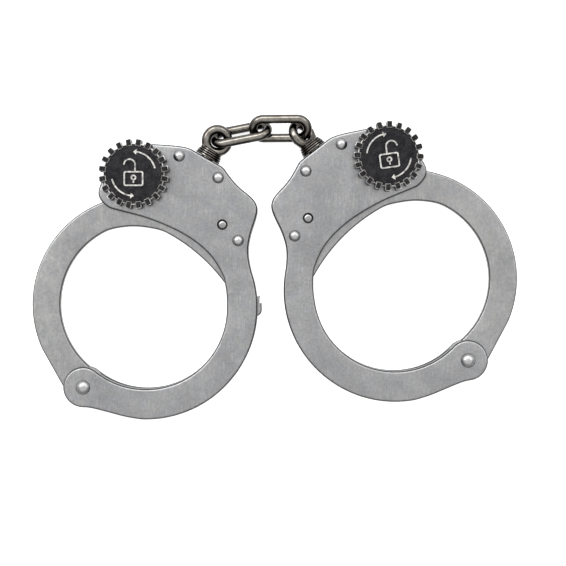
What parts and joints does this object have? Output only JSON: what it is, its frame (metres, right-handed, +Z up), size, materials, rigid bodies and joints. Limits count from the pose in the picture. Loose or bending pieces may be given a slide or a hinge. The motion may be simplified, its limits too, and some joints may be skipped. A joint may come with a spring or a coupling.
{
  "type": "handcuffs",
  "caption": "Pair of chain handcuffs with swinging ratchet bows, riveted side plates, thumb-turn release knobs and a swivel chain",
  "frame": {"origin": "on the resting plane, under the middle of the whole object laid out flat", "axes": "+X from the left cuff to the right cuff, +Y from the bows towards the chain, +Z up through the knobs"},
  "size_m": [0.1642, 0.1028, 0.0144],
  "materials": {
    "plate": "tumbled satin nickel",
    "bow_steel": "satin nickel",
    "rivet": "polished nickel",
    "chain": "polished nickel, slightly tarnished",
    "knob": "antiqued black with bright worn edges",
    "inner_steel": "machined",
    "spring_steel": "blued spring steel"
  },
  "bodies": {
    "left_frame": {"left_front_cheek": "plate", "left_rear_cheek": "plate", "left_hinge_rivet": "rivet", "left_housing_rivets": "rivet", "left_pawl_pin": "rivet", "left_spacer_lower": "inner_steel", "left_spacer_upper": "inner_steel", "left_swivel_block": "inner_steel", "left_pawl_spring": "spring_steel"},
    "left_bow": {"left_bow": "bow_steel"},
    "left_knob": {"left_thumb_knob": "knob", "left_knob_spindle": "inner_steel", "left_release_cam": "inner_steel", "left_spindle_clip": "spring_steel"},
    "left_pawl": {"left_pawl": "inner_steel"},
    "left_swivel": {"left_swivel_eye": "chain", "left_swivel_retainer": "chain"},
    "right_frame": {"right_front_cheek": "plate", "right_rear_cheek": "plate", "right_hinge_rivet": "rivet", "right_housing_rivets": "rivet", "right_pawl_pin": "rivet", "right_spacer_lower": "inner_steel", "right_spacer_upper": "inner_steel", "right_swivel_block": "inner_steel", "right_pawl_spring": "spring_steel"},
    "right_bow": {"right_bow": "bow_steel"},
    "right_knob": {"right_thumb_knob": "knob", "right_knob_spindle": "inner_steel", "right_release_cam": "inner_steel", "right_spindle_clip": "spring_steel"},
    "right_pawl": {"right_pawl": "inner_steel"},
    "right_swivel": {"right_swivel_eye": "chain", "right_swivel_retainer": "chain"},
    "chain_link_1": {"chain_link_1": "chain"},
    "chain_link_2": {"chain_link_2": "chain"}
  },
  "joints": [
    {"name": "left_bow_swing", "type": "hinge", "parent": "left_frame", "child": "left_bow", "pos_m": [-0.06442, -0.04049, 0.0051], "axis": [0, 0, 1], "continuous": true},
    {"name": "left_knob_turn", "type": "hinge", "parent": "left_frame", "child": "left_knob", "pos_m": [-0.04693, 0.03091, 0.0051], "axis": [0, 0, 1], "range_deg": [-70, 0]},
    {"name": "left_pawl_swing", "type": "hinge", "parent": "left_frame", "child": "left_pawl", "pos_m": [-0.01762, 0.01421, 0.0051], "axis": [0, 0, 1], "range_deg": [0, 7.5]},
    {"name": "right_bow_swing", "type": "hinge", "parent": "right_frame", "child": "right_bow", "pos_m": [0.065, -0.03144, 0.0051], "axis": [0, 0, 1], "continuous": true},
    {"name": "right_knob_turn", "type": "hinge", "parent": "right_frame", "child": "right_knob", "pos_m": [0.03798, 0.03693, 0.0051], "axis": [0, 0, 1], "range_deg": [0, 70]},
    {"name": "right_pawl_swing", "type": "hinge", "parent": "right_frame", "child": "right_pawl", "pos_m": [0.01121, 0.01641, 0.0051], "axis": [0, 0, 1], "range_deg": [-7.5, 0]},
    {"name": "left_swivel_spin", "type": "hinge", "parent": "left_frame", "child": "left_swivel", "pos_m": [-0.02307, 0.03681, 0.0051], "axis": [0.5, 0.866, 0], "continuous": true},
    {"name": "link_1_on_left_eye", "type": "hinge", "parent": "left_swivel", "child": "chain_link_1", "pos_m": [-0.01707, 0.04406, 0.00427], "axis": [-0.1997, 0.7536, 0.6263], "range_deg": [-4, 12]},
    {"name": "link_2_on_link_1", "type": "hinge", "parent": "chain_link_1", "child": "chain_link_2", "pos_m": [-0.00581, 0.04613, 0.00537], "axis": [-0.1997, 0.7536, 0.6263], "range_deg": [-2, 26]},
    {"name": "right_eye_on_link_2", "type": "hinge", "parent": "chain_link_2", "child": "right_swivel", "pos_m": [0.00761, 0.04692, 0.00643], "axis": [-0.0519, -0.5213, 0.8518], "range_deg": [-2, 6]},
    {"name": "right_swivel_spin", "type": "hinge", "parent": "right_swivel", "child": "right_frame", "pos_m": [0.01355, 0.03954, 0.0051], "axis": [-0.6129, 0.7902, 0], "continuous": true}
  ],
  "couplings": [
    {"joint": "left_pawl_swing", "follows": "left_knob_turn", "ratio": -0.107},
    {"joint": "right_pawl_swing", "follows": "right_knob_turn", "ratio": -0.107}
  ]
}
